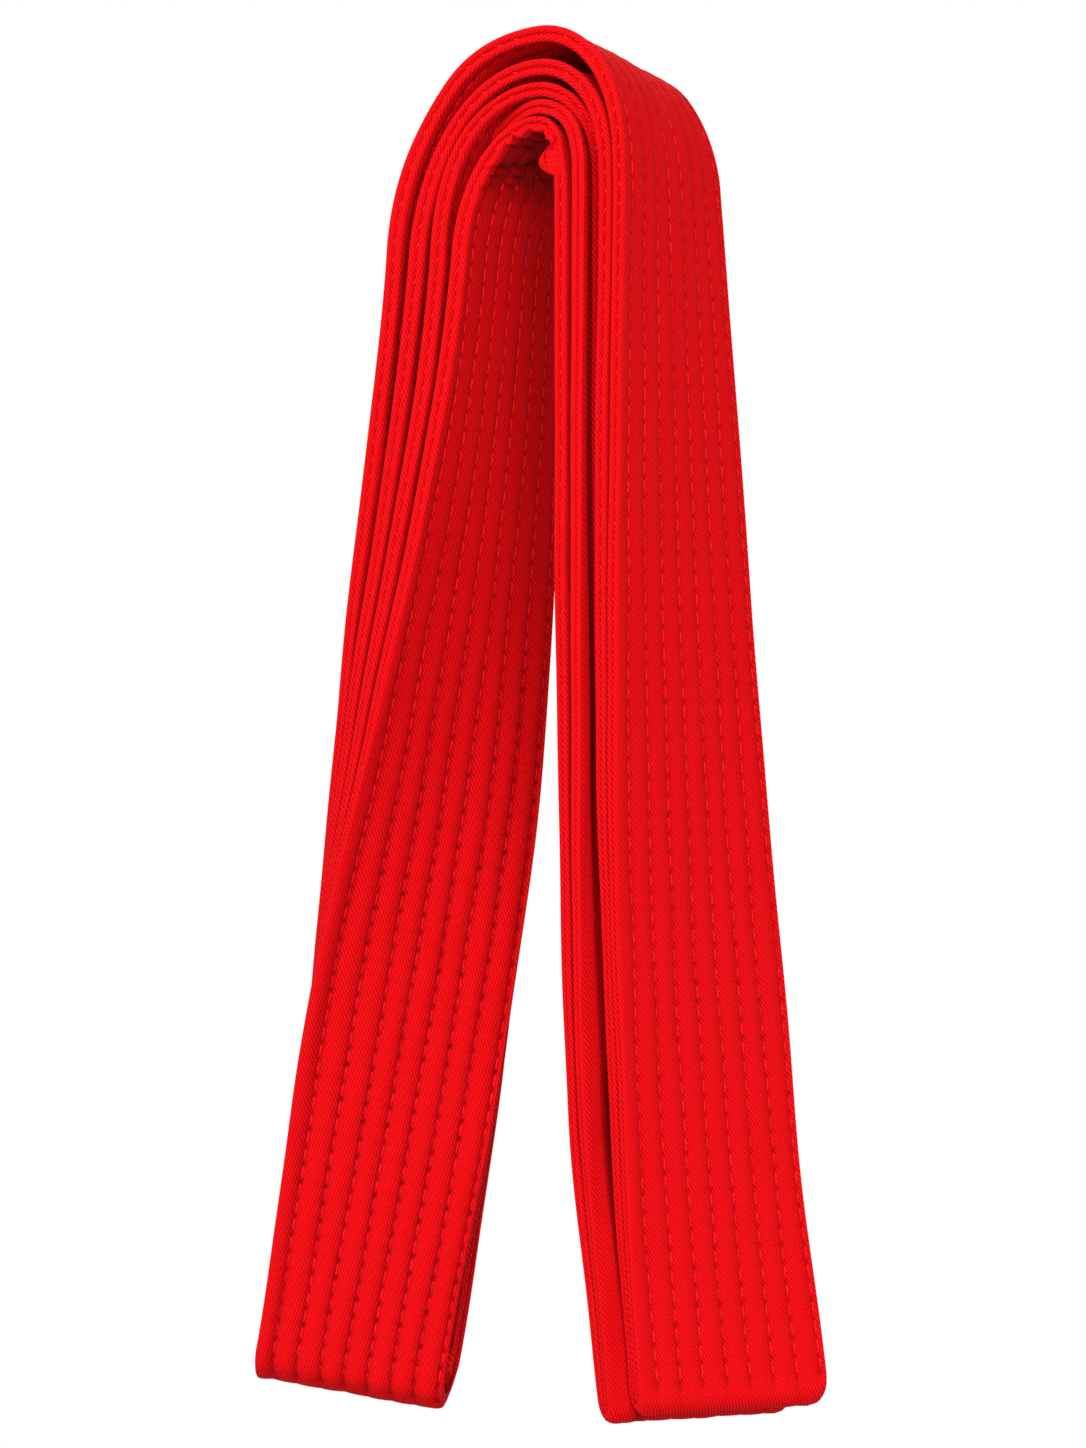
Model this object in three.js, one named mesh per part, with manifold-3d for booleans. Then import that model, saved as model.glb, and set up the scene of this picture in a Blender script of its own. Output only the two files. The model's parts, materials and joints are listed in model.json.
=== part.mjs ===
// A martial arts belt: one quilted cloth strip, folded into five strands and hung in an arch over a rest.
// Millimetres, +Z up. The origin is where the innermost strand rests, +Y runs along the rest, +X across it.
import * as THREE from "three";
import Module from "manifold-3d";

const wasm = await Module();
wasm.setup();

// The strip: a twill cover wrapped round two core plies, its two edges meeting in a seam at one side.
const STRIP_WIDTH = 40;
const STRIP_THICKNESS = 3.1;
const COVER_WALL = 0.5;
const CORE_PLY_NAMES = ["core_front", "core_back"];
const PLY_CLEARANCE = 0.15;
const SEAM_SLOT = 0.3;
const EDGE_CHAMFER = 0.6;
const END_TUCK = 1.5;
const TUCK_INSET = 0.2;
const FACE_SPANS = 4;

// How the strands lie on each other.
const STRAND_GAP = 0.3;
const LEFT_STRAND_GAP = 2;
const LEFT_LOOSE_PLACE = 1.1;
const SECOND_STRAND_LIFT = 1.1;
const FIRST_STRAND_LIFT = 3.7;
const PAIR_SLIDE = 4.2;
const PAIR_SLIDE_FROM = 40;
const HIDDEN_END_RECESS = 3;
const CLOSING_CLEARANCE = 5;
const CLOSING_SHARE = 0.82;

// The curve of the innermost strand's inner face, in the plane across the rest.
const LEFT = { side: -1, halfSpan: 16.5, rise: 27, leanTop: 5, leanEnd: 11.5, reach: 57.2, drop: 249.5 };
const RIGHT = { side: 1, halfSpan: 3.9, rise: 8.5, leanTop: 3, leanEnd: 9.5, reach: 27.4, drop: 249 };
const CROWN_TILT = 6;
const LEFT_TWIST = { angle: 61, from: 18, to: 215 };
const RIGHT_TWIST = { angle: 40, from: 10, to: 249 };

// Where the legs are hinged, and where the strip's two ends lie hidden between strands.
const HINGE_DROP = 25;
const HINGE_GAP = 0.3;
const CROWN_END_SHARE = 0.5;
const HIDDEN_END_DROP = 187;
const LEG_FOLD_FLATTENING = 0.62;
const NESTED_FOLD_RAISE = 5;

const SHOULDER_STEPS = 6;
const LEFT_LEG_STEPS = 6;
const RIGHT_LEG_STEPS = [5, 2];
const FOLD_STEPS = 6;
const LEAST_PLACE_STEP = 0.02;
const BISECTIONS = 50;

const COVER_FINISH = { color: 0xd9121c, roughness: 0.85, metalness: 0 };
const CORE_FINISH = { color: 0xe8dcc8, roughness: 0.95, metalness: 0 };

const radians = THREE.MathUtils.degToRad;
const mix = THREE.MathUtils.lerp;
const ease = (x, from, to) => THREE.MathUtils.smoothstep(x, from, to);

// A place on the curve is one number: 0 at the crown, 1 where a shoulder's ellipse ends, 2 at a leg's end,
// and negative on the left.
function sideOf(place) {
  return place < 0 ? LEFT : RIGHT;
}

// A shoulder is a quarter ellipse, cut short where it reaches the leg's lean. Equal shares turn equally.
function shoulderPoint(leg, share) {
  const heading = radians(90 - leg.leanTop) * share;
  const angle = Math.atan2(leg.halfSpan * Math.sin(heading), leg.rise * Math.cos(heading));
  return {
    out: leg.halfSpan * Math.sin(angle),
    down: leg.rise * (1 - Math.cos(angle)),
    dOut: Math.cos(heading),
    dDown: Math.sin(heading),
  };
}

function legPoint(leg, share) {
  const top = shoulderPoint(leg, 1);
  const chord = Math.hypot(leg.reach - top.out, leg.drop - top.down);
  const tangents = [leg.leanTop, leg.leanEnd].map((lean) => ({
    out: chord * Math.sin(radians(lean)),
    down: chord * Math.cos(radians(lean)),
  }));
  const cubic = (from, to, fromSlope, toSlope) => {
    const bend = 2 * (from - to) + fromSlope + toSlope;
    const pull = 3 * (to - from) - 2 * fromSlope - toSlope;
    return {
      value: from + share * (fromSlope + share * (pull + share * bend)),
      slope: fromSlope + share * (2 * pull + share * 3 * bend),
    };
  };
  const out = cubic(top.out, leg.reach, tangents[0].out, tangents[1].out);
  const down = cubic(top.down, leg.drop, tangents[0].down, tangents[1].down);
  return { out: out.value, down: down.value, dOut: out.slope, dDown: down.slope };
}

function curvePoint(place) {
  const leg = sideOf(place);
  const share = Math.abs(place);
  return share <= 1 ? shoulderPoint(leg, share) : legPoint(leg, share - 1);
}

function twistAt(place, down) {
  if (place < 0) return radians(LEFT_TWIST.angle) * ease(down, LEFT_TWIST.from, LEFT_TWIST.to);
  const share = (down - RIGHT_TWIST.from) / (RIGHT_TWIST.to - RIGHT_TWIST.from);
  return radians(RIGHT_TWIST.angle) * THREE.MathUtils.clamp(share, 0, 1);
}

// The curve's point with its directions: along it, across the strip's width, and outwards from the rest.
function frameAt(place) {
  const { side } = sideOf(place);
  const { out, down, dOut, dDown } = curvePoint(place);
  const along = new THREE.Vector3(dOut, 0, -side * dDown).normalize();
  const turn = twistAt(place, down);
  const level = Math.cos(radians(CROWN_TILT));
  const fall = Math.sin(radians(CROWN_TILT));
  const width = new THREE.Vector3(Math.sin(turn) * level, Math.cos(turn) * level, -fall);
  width.addScaledVector(along, -width.dot(along)).normalize();
  return {
    point: new THREE.Vector3(side * out, 0, -down),
    along,
    width,
    outward: new THREE.Vector3().crossVectors(along, width),
    down,
  };
}

function placeAtDrop(leg, drop) {
  let low = 0;
  let high = 2;
  for (let step = 0; step < BISECTIONS; step += 1) {
    const middle = (low + high) / 2;
    if (curvePoint(leg.side * middle).down < drop) low = middle;
    else high = middle;
  }
  return leg.side * low;
}

const LEFT_HINGE = placeAtDrop(LEFT, HINGE_DROP);
const RIGHT_HINGE = placeAtDrop(RIGHT, HINGE_DROP);
const HIDDEN_END = placeAtDrop(RIGHT, HIDDEN_END_DROP);
const CROWN_END = LEFT_HINGE * CROWN_END_SHARE;

// The five strands, outermost first. left and right count the strands under each one; facing says which way
// the strip's front face looks, because each fold turns it over.
const STRANDS = {
  first: { left: 3, right: 4, lift: FIRST_STRAND_LIFT, facing: -1 },
  second: { left: 2, right: 3, lift: SECOND_STRAND_LIFT, facing: 1 },
  third: { left: 1, right: 2, lift: 0, facing: -1, recess: HIDDEN_END_RECESS },
  fourth: { left: 1, right: 1, lift: 0, facing: -1, paired: true },
  fifth: { left: 0, right: 0, lift: 0, facing: 1, paired: true },
};

// How far a strand's inner face stands off the curve. Below the hidden end the inner pair closes up to the
// outer one, into the room that the end leaves.
function strandOffset(strand, place, down) {
  const tight = strand.right * (STRIP_THICKNESS + STRAND_GAP);
  const loose = strand.left * (STRIP_THICKNESS + LEFT_STRAND_GAP);
  const lifted = tight + strand.lift * (1 - ease(Math.abs(place), 0, 1));
  if (place < 0) return mix(lifted, loose, ease(-place, -CROWN_END, LEFT_LOOSE_PLACE));
  if (!strand.paired) return lifted;
  const closed = mix(HIDDEN_END_DROP, RIGHT.drop, CLOSING_SHARE);
  return lifted + STRIP_THICKNESS * ease(down, HIDDEN_END_DROP + CLOSING_CLEARANCE, closed);
}

// How far a strand has slipped along its width.
function strandSlip(strand, place, down) {
  if (place < 0) return 0;
  if (strand.paired) return -PAIR_SLIDE * ease(down, PAIR_SLIDE_FROM, RIGHT.drop);
  return (strand.recess ?? 0) * ease(place, 0, 1);
}

// A station is a cross-section's place: the middle of the strip's front face, and its two directions.
function strandStation(strand, place, alongShift = 0) {
  const frame = frameAt(place);
  const middle = strandOffset(strand, place, frame.down) + STRIP_THICKNESS / 2;
  const depth = frame.outward.clone().multiplyScalar(strand.facing);
  const centre = frame.point
    .clone()
    .addScaledVector(frame.outward, middle)
    .addScaledVector(frame.width, strandSlip(strand, place, frame.down))
    .addScaledVector(frame.along, alongShift);
  return { centre, depth, width: frame.width, order: place };
}

// The half turn at the end of a leg that joins one strand to the next.
function foldStations(leg, from, to, flattening, raise) {
  const place = 2 * leg.side;
  const frame = frameAt(place);
  const downward = frame.along.clone().multiplyScalar(leg.side);
  const start = strandOffset(from, place, frame.down) + STRIP_THICKNESS / 2;
  const end = strandOffset(to, place, frame.down) + STRIP_THICKNESS / 2;
  const slips = [from, to].map((strand) => strandSlip(strand, place, frame.down));
  const radius = Math.abs(end - start) / 2;
  const outside = from.facing * Math.sign(start - end);
  const stations = [];
  for (let step = 0; step <= FOLD_STEPS; step += 1) {
    const angle = (Math.PI * step) / FOLD_STEPS;
    const across = ((start - end) / 2) * Math.cos(angle);
    const deep = flattening * radius * Math.sin(angle);
    const normal = new THREE.Vector3()
      .addScaledVector(frame.outward, across / radius ** 2)
      .addScaledVector(downward, deep / (flattening * radius) ** 2)
      .normalize();
    const centre = frame.point
      .clone()
      .addScaledVector(frame.outward, (start + end) / 2 + across)
      .addScaledVector(downward, deep - raise)
      .addScaledVector(frame.width, mix(...slips, step / FOLD_STEPS));
    stations.push({ centre, depth: normal.multiplyScalar(outside), width: frame.width, order: place });
  }
  return stations;
}

// The places from one end of a run to the other that every strand shares, so that neighbours stay parallel.
function placesBetween(from, to) {
  const steps = (start, end, count) => {
    return Array.from({ length: count }, (_, i) => mix(start, end, (i + 1) / count));
  };
  const crown = [...steps(0, RIGHT_HINGE, SHOULDER_STEPS), ...steps(0, LEFT_HINGE, SHOULDER_STEPS)];
  const [besideEnd, belowEnd] = RIGHT_LEG_STEPS;
  const rightLeg = [...steps(RIGHT_HINGE, HIDDEN_END, besideEnd), ...steps(HIDDEN_END, 2, belowEnd)];
  const leftLeg = steps(LEFT_HINGE, -2, LEFT_LEG_STEPS);
  const low = Math.min(from, to);
  const high = Math.max(from, to);
  const inside = [0, ...crown, ...rightLeg, ...leftLeg].filter(
    (place) => place > low + LEAST_PLACE_STEP && place < high - LEAST_PLACE_STEP,
  );
  const places = [low, ...inside.sort((a, b) => a - b), high];
  return from < to ? places : places.reverse();
}

function runStations(strand, from, to, startShift = 0, endShift = 0) {
  const places = placesBetween(from, to);
  return places.map((place, index) => {
    const shift = index === 0 ? startShift : index === places.length - 1 ? endShift : 0;
    return strandStation(strand, place, shift);
  });
}

// The two strands of a leg, joined by their fold. A raised fold shortens both strands with it.
function loopStations(leg, from, to, flattening = 1, raise = 0) {
  const hinge = leg === LEFT ? LEFT_HINGE : RIGHT_HINGE;
  const shift = (leg.side * HINGE_GAP) / 2;
  const end = 2 * leg.side;
  return [
    ...runStations(from, hinge, end, shift, -leg.side * raise).slice(0, -1),
    ...foldStations(leg, from, to, flattening, raise),
    ...runStations(to, end, hinge, -leg.side * raise, shift).slice(1),
  ];
}

function crownStations(strand, from, to) {
  const startShift = from === LEFT_HINGE ? HINGE_GAP / 2 : 0;
  return runStations(strand, from, to, startShift, -HINGE_GAP / 2);
}

// The face's inner columns, which the cover and the plies share.
const COLUMNS = Array.from({ length: FACE_SPANS - 1 }, (_, i) => (STRIP_WIDTH * (i + 1)) / FACE_SPANS);

// The cover's outline: right round the strip, in at the seam, and back along its inner face.
function coverOutline() {
  const [w, t, r, wall] = [STRIP_WIDTH, STRIP_THICKNESS, EDGE_CHAMFER, COVER_WALL];
  const lipBack = (t - SEAM_SLOT) / 2;
  const lipFront = (t + SEAM_SLOT) / 2;
  const row = (from, to, depth) => {
    const columns = from < to ? COLUMNS : [...COLUMNS].reverse();
    return [from, ...columns, to].map((across) => [across, depth]);
  };
  return [
    [0, lipBack],
    [0, r],
    ...row(r, w - r, 0),
    [w, r],
    [w, t - r],
    ...row(w - r, r, t),
    [0, t - r],
    [0, lipFront],
    [wall, lipFront],
    ...row(wall, w - wall, t - wall),
    ...row(w - wall, wall, wall),
    [wall, lipBack],
  ];
}

function plyOutline(index) {
  const inset = COVER_WALL + PLY_CLEARANCE;
  const room = STRIP_THICKNESS - 2 * inset - PLY_CLEARANCE * (CORE_PLY_NAMES.length - 1);
  const thickness = room / CORE_PLY_NAMES.length;
  const low = inset + index * (thickness + PLY_CLEARANCE);
  const across = [inset, ...COLUMNS, STRIP_WIDTH - inset];
  return [...across.map((a) => [a, low]), ...across.reverse().map((a) => [a, low + thickness])];
}

function tuckOutline() {
  const inset = COVER_WALL / 2;
  const across = [inset, ...COLUMNS, STRIP_WIDTH - inset];
  return [
    ...across.map((a) => [a, inset]),
    ...across.reverse().map((a) => [a, STRIP_THICKNESS - inset]),
  ];
}

function placePoint(station, [across, depth]) {
  return station.centre
    .clone()
    .addScaledVector(station.width, across - STRIP_WIDTH / 2)
    .addScaledVector(station.depth, depth - STRIP_THICKNESS / 2);
}

function signedVolume(points, faces) {
  return faces.reduce((sum, [a, b, c]) => {
    return sum + points[a].dot(new THREE.Vector3().crossVectors(points[b], points[c]));
  }, 0);
}

// A closed solid of one outline carried through the stations. Its diagonals follow the hanging curve, not
// the strip, so that strands running opposite ways are faceted alike.
function sweep(outline, stations) {
  const count = outline.length;
  const points = stations.flatMap((station) => outline.map((corner) => placePoint(station, corner)));
  const faces = [];
  for (let i = 0; i + 1 < stations.length; i += 1) {
    const forward = Math.sign(stations[i + 1].order - stations[i].order) || 1;
    for (let j = 0; j < count; j += 1) {
      const k = (j + 1) % count;
      const [a, b, c, d] = [i * count + j, i * count + k, (i + 1) * count + k, (i + 1) * count + j];
      const rising = (outline[k][0] - outline[j][0]) * forward > 0;
      if (rising) faces.push([a, b, c], [a, c, d]);
      else faces.push([a, b, d], [b, c, d]);
    }
  }
  const flat = outline.map(([x, y]) => new THREE.Vector2(x, y));
  const last = (stations.length - 1) * count;
  for (const [a, b, c] of THREE.ShapeUtils.triangulateShape(flat, [])) {
    faces.push([c, b, a], [last + a, last + b, last + c]);
  }
  const turned = signedVolume(points, faces) < 0 ? faces.map(([a, b, c]) => [a, c, b]) : faces;
  return { points, faces: turned };
}

function toSolid({ points, faces }) {
  return new wasm.Manifold(
    new wasm.Mesh({
      numProp: 3,
      vertProperties: new Float32Array(points.flatMap((p) => p.toArray())),
      triVerts: new Uint32Array(faces.flat()),
    }),
  );
}

function toGeometry(positions, triangles) {
  const geometry = new THREE.BufferGeometry();
  geometry.setAttribute("position", new THREE.BufferAttribute(new Float32Array(positions), 3));
  geometry.setIndex(new THREE.BufferAttribute(new Uint32Array(triangles), 1));
  geometry.computeVertexNormals();
  return geometry;
}

function mixStation(a, b, share) {
  return {
    centre: a.centre.clone().lerp(b.centre, share),
    depth: a.depth.clone().lerp(b.depth, share).normalize(),
    width: a.width.clone().lerp(b.width, share).normalize(),
    order: mix(a.order, b.order, share),
  };
}

// The station a short way in from the last one, on the straight facet that leads to it.
function stationBefore(stations, distance) {
  const [before, last] = stations.slice(-2);
  return mixStation(last, before, distance / last.centre.distanceTo(before.centre));
}

function addMesh(group, name, geometry, finish) {
  const mesh = new THREE.Mesh(geometry, new THREE.MeshStandardMaterial(finish));
  mesh.name = name;
  group.add(mesh);
}

// One length of the strip: its cover and its plies. At a free end the cover is tucked in over the plies.
function addLength(group, name, stations, freeEnd = false) {
  const cover = sweep(coverOutline(), stations);
  let solid = toSolid(cover);
  let plyStations = stations;
  if (freeEnd) {
    const tuck = [stationBefore(stations, END_TUCK), stationBefore(stations, TUCK_INSET)];
    solid = solid.add(toSolid(sweep(tuckOutline(), tuck)));
    plyStations = [...stations.slice(0, -1), stationBefore(stations, END_TUCK + STRAND_GAP)];
  }
  const { vertProperties, triVerts } = solid.getMesh();
  addMesh(group, `${name}_cover`, toGeometry(vertProperties, triVerts), COVER_FINISH);
  CORE_PLY_NAMES.forEach((plyName, index) => {
    const ply = sweep(plyOutline(index), plyStations);
    const positions = ply.points.flatMap((p) => p.toArray());
    addMesh(group, `${name}_${plyName}`, toGeometry(positions, ply.faces.flat()), CORE_FINISH);
  });
}

const { first, second, third, fourth, fifth } = STRANDS;
const belt = new THREE.Group();
const crown = new THREE.Group();
const leftLeg = new THREE.Group();
const rightLeg = new THREE.Group();
belt.add(crown, leftLeg, rightLeg);

addLength(crown, "crown_first", crownStations(first, LEFT_HINGE, RIGHT_HINGE));
addLength(crown, "crown_second", crownStations(second, LEFT_HINGE, RIGHT_HINGE));
addLength(crown, "crown_third", crownStations(third, LEFT_HINGE, RIGHT_HINGE));
addLength(crown, "crown_fourth_end", crownStations(fourth, CROWN_END, RIGHT_HINGE).reverse(), true);
addLength(crown, "crown_fifth", crownStations(fifth, LEFT_HINGE, RIGHT_HINGE));

addLength(leftLeg, "left_outer_loop", loopStations(LEFT, fifth, first, LEG_FOLD_FLATTENING));
addLength(leftLeg, "left_inner_loop", loopStations(LEFT, second, third, 1, NESTED_FOLD_RAISE));

addLength(rightLeg, "right_outer_loop", loopStations(RIGHT, first, second));
addLength(rightLeg, "right_inner_loop", loopStations(RIGHT, fourth, fifth));
addLength(rightLeg, "right_hidden_end", runStations(third, RIGHT_HINGE, HIDDEN_END, HINGE_GAP / 2), true);

export default belt;
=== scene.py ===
import json
from collections import namedtuple
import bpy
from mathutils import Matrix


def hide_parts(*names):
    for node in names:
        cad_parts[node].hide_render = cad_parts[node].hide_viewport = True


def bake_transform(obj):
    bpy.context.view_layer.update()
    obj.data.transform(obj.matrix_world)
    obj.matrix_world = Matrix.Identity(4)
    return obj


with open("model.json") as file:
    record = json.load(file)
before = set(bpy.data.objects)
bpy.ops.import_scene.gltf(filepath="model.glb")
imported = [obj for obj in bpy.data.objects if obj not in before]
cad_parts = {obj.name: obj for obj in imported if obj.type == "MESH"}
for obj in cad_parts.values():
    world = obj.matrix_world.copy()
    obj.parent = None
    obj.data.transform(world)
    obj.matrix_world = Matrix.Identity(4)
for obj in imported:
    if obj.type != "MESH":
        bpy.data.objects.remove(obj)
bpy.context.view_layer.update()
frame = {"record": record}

from types import SimpleNamespace

import bpy
import numpy as np
from bpy.props import FloatProperty, FloatVectorProperty, IntProperty, PointerProperty
from mathutils import Vector

bl_info = {
    "name": "Folded Martial Arts Belt",
    "version": (1, 0, 0),
    "blender": (4, 5, 0),
    "location": "3D View > Sidebar > Belt",
    "description": "Builds a quilted cloth belt, folded into strands and hung in an arch",
    "category": "Object",
}

MM = 0.001
COVER_SLOT = "cover_twill"
SLOT_COLOURS = {m["slot"]: m["base_color"] for m in frame["record"]["materials"]}


def length(text, default):
    """A size in metres, given in millimetres."""
    return FloatProperty(description=text, default=default * MM, unit="LENGTH", precision=5)


def turn(text, default):
    """An angle, given in degrees."""
    return FloatProperty(description=text, default=np.radians(default), subtype="ANGLE")


def share(text, default):
    return FloatProperty(description=text, default=default, min=0, max=1)


def paint(text, default):
    return FloatVectorProperty(description=text, default=default, subtype="COLOR", size=3, min=0, max=1)


def labelled(settings):
    """Labels each setting with its own identifier, in words."""
    for field, setting in settings.__annotations__.items():
        setting.keywords["name"] = field.replace("_", " ").title()
    return settings


# ---- settings


@labelled
class BeltStripSettings(bpy.types.PropertyGroup):
    """The flat strip before it is folded."""

    width: length("Width of the strip", 40)
    thickness: length("Thickness over the puffed channels", 3.1)
    rows: IntProperty(description="Lengthwise rows of stitches", default=8, min=1)
    first_row: length("From the seam edge to the first row", 3.8)
    row_pitch: length("Between two rows", 5)
    stitch_pitch: length("Between two needle holes", 3.7)
    row_valley: length("How far a row is pulled into the padding", 1.05)
    needle_dimple: length("How far a needle hole sinks below its row", 0.45)
    row_wander: length("How far a row strays from a straight line", 0.22)
    seam_groove: length("Depth of the groove between the two turned edges", 1.0)
    hem_swell: share("How much thicker the turned edge is where nothing presses on it", 0.26)
    corner: length("Radius of the corners where the strip folds", 3.8)
    face_ripple: length("Slow ripples of the faces", 0.12)
    edge_wave: length("Slow wander of the two edges", 0.3)
    thread: length("Diameter of the sewing thread", 0.42)


@labelled
class BeltLeftLegSettings(bpy.types.PropertyGroup):
    """The left half of the hanging curve."""

    half_span: length("Half the width of the arch", 16.5)
    rise: length("Height of the arch", 27)
    lean_top: turn("Lean of the leg below the arch", 5)
    lean_end: turn("Lean of the leg at its end", 11.5)
    reach: length("How far out the leg ends", 57.2)
    drop: length("How far down the leg ends", 249.5)
    twist: turn("How far the leg has turned at its end", 61)
    twist_from: length("Drop where the twist starts", 18)
    twist_to: length("Drop where the twist is complete", 215)


@labelled
class BeltRightLegSettings(bpy.types.PropertyGroup):
    """The right half of the hanging curve."""

    half_span: length("Half the width of the arch", 3.9)
    rise: length("Height of the arch", 8.5)
    lean_top: turn("Lean of the leg below the arch", 3)
    lean_end: turn("Lean of the leg at its end", 9.5)
    reach: length("How far out the leg ends", 27.4)
    drop: length("How far down the leg ends", 249)
    twist: turn("How far the leg has turned at its end", 40)
    twist_from: length("Drop where the twist starts", 10)
    twist_to: length("Drop where the twist is complete", 249)


@labelled
class BeltFoldSettings(bpy.types.PropertyGroup):
    """How the strands lie on each other."""

    strand_gap: length("Between two strands that lie close", 0.3)
    left_gap: length("Between two strands of the left leg", 2)
    first_lift: length("How far the outermost strand stands up at the crown", 4.5)
    second_lift: length("How far the second strand stands up at the crown", 1.1)
    pair_slide: length("How far the right leg's inner pair has slid", 4.2)
    pair_slide_from: length("Drop where that slide starts", 40)
    recess: length("How far the third strand lies behind the others' edges", 3)
    left_slide: length("How far the left leg's outer strand has slid at its end", 1.6)
    end_recess: length("How far the free end at the crown lies behind the other edges", 3.5)
    pucker: length("Height of the puckers under the arch", 1.5)
    curl: length("Height of the lump where the innermost strand bends most", 3.7)
    crown_sag: length("How far the outermost strand's far edge sags over the crown", 1.6)
    end_slope: length("How far the right leg's far edge hangs below its near edge", 3.7)
    near_raise: length("How far the right leg's near edge is drawn up", 1.4)
    inner_drop: length("How far the right leg's inner pair hangs below the outer one", 0.8)
    left_drop: length("How far the left leg has stretched at its end", 1.25)
    broad: length("How far the left leg's near edge stands out in its twist", 1.5)
    shoulder_push: length("How far its near edge stands out on the left shoulder", 1.3)
    crown_tilt: turn("How far the crown leans away along the rest", 6)
    hinge_drop: length("Drop where the legs start to swing", 25)
    crown_end_share: share("Where the free end lies left of the crown", 0.5)
    hidden_end_drop: length("Drop of the end hidden in the right leg", 187)
    closing_clearance: length("From the hidden end to where the pair closes up", 5)
    closing_share: share("Where the pair has closed up, of the way to the fold", 0.82)
    flattening: share("Depth of the left leg's outer fold, of a half circle", 0.62)
    nested_raise: length("How far the inner fold lies above the outer one", 5)


@labelled
class BeltFinishSettings(bpy.types.PropertyGroup):
    """Colours and weave."""

    cover: paint("Colour of the twill", (SLOT_COLOURS[COVER_SLOT][0], 0.0015, 0.004))
    thread: paint("Colour of the sewing thread", (0.76, 0.006, 0.009))
    rib_pitch: length("Between two ribs of the twill", 0.58)
    rib_slope: FloatProperty(description="Run of a rib along the strip for its run across", default=1.9)
    yarn_pitch: length("Between two floats along a rib", 0.42)


@labelled
class BeltStageSettings(bpy.types.PropertyGroup):
    """Camera, lights and floor."""

    azimuth: turn("Direction that the camera looks from", 31)
    distance: length("From the camera to the belt", 1000)
    aim_height: length("Height that the camera looks at", -115.8)
    aim_side: length("How far beside the origin the camera looks", -8.69)
    lens: FloatProperty(description="Focal length", default=123.1, unit="CAMERA")
    floor_drop: length("From the rest to the floor", 320)
    floor_radius: length("Radius of the floor", 4000)


class BeltSettings(bpy.types.PropertyGroup):
    """Everything about the belt that a user would change."""

    strip: PointerProperty(type=BeltStripSettings)
    left: PointerProperty(type=BeltLeftLegSettings)
    right: PointerProperty(type=BeltRightLegSettings)
    fold: PointerProperty(type=BeltFoldSettings)
    finish: PointerProperty(type=BeltFinishSettings)
    stage: PointerProperty(type=BeltStageSettings)


# ---- the hanging curve


def ease(x, start, end):
    u = np.clip((x - start) / (end - start), 0, 1)
    return u * u * (3 - 2 * u)


def mix(a, b, t):
    return a + (b - a) * t


def unit(vectors):
    return vectors / np.linalg.norm(vectors, axis=-1, keepdims=True)


def square_to(vectors, others):
    """Directions made square to other directions."""
    return unit(vectors - (vectors * others).sum(-1, keepdims=True) * others)


def sampled(at, known, values):
    """Values, or vectors, read off between the known ones."""
    if values.ndim == 1:
        return np.interp(at, known, values)
    return np.stack([np.interp(at, known, values[:, i]) for i in range(3)], -1)


def shoulder(leg, part):
    """A quarter ellipse from the crown, in equal turns: how far out and down, and its direction."""
    heading = (np.pi / 2 - leg.lean_top) * part
    angle = np.arctan2(leg.half_span * np.sin(heading), leg.rise * np.cos(heading))
    return leg.half_span * np.sin(angle), leg.rise * (1 - np.cos(angle)), np.cos(heading), np.sin(heading)


def hermite(part, start, end, slope, end_slope):
    bend = 2 * (start - end) + slope + end_slope
    pull = 3 * (end - start) - 2 * slope - end_slope
    value = start + part * (slope + part * (pull + part * bend))
    return value, slope + part * (2 * pull + part * 3 * bend)


def hanging(leg, place):
    """The curve at places from 0, the crown, through 1, the shoulder's end, to 2, the leg's end."""
    arch = shoulder(leg, np.minimum(place, 1))
    out, down, _, _ = shoulder(leg, 1.0)
    chord = np.hypot(leg.reach - out, leg.drop - down)
    leans = (leg.lean_top, leg.lean_end)
    below = np.maximum(place - 1, 0)
    outs = hermite(below, out, leg.reach, *(chord * np.sin(lean) for lean in leans))
    downs = hermite(below, down, leg.drop, *(chord * np.cos(lean) for lean in leans))
    straight = (outs[0], downs[0], outs[1], downs[1])
    return [np.where(place <= 1, a, b) for a, b in zip(arch, straight)]


def frames(settings, side, place):
    """The curve's points with their directions along it, across the strip and outwards."""
    leg = settings.left if side < 0 else settings.right
    out, down, d_out, d_down = hanging(leg, place)
    zero = np.zeros_like(out)
    point = np.stack([side * out, zero, -down], -1)
    along = unit(np.stack([d_out, zero, -side * d_down], -1))
    if side < 0:
        turned = leg.twist * ease(down, leg.twist_from, leg.twist_to)
    else:
        turned = leg.twist * np.clip((down - leg.twist_from) / (leg.twist_to - leg.twist_from), 0, 1)
    tilt = settings.fold.crown_tilt
    level = np.cos(tilt)
    across = np.stack([np.sin(turned) * level, np.cos(turned) * level, zero - np.sin(tilt)], -1)
    across = square_to(across, along)
    outward = np.cross(along, across)
    return SimpleNamespace(point=point, along=along, across=across, outward=outward, down=down)


def place_at_drop(leg, drop):
    places = np.linspace(0, 2, 20001)
    return float(np.interp(drop, hanging(leg, places)[1], places))


# Each strand: how many strands lie under it on the left and on the right, its setting for the lift at the
# crown, which way the strip's front face looks, whether it lies back, whether it belongs to the right leg's
# inner pair, and its share of the left leg's slide.
Strand = namedtuple("Strand", "left right lift facing recess paired slide")
STRANDS = {
    "first": Strand(3, 4, "first_lift", -1, 0, False, 1.0),
    "second": Strand(2, 3, "second_lift", 1, 0, False, 0.5),
    "third": Strand(1, 2, None, -1, 1, False, 0.3),
    "fourth": Strand(1, 1, None, -1, 0, True, 0.0),
    "fifth": Strand(0, 0, None, 1, 0, True, 0.0),
}

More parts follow.
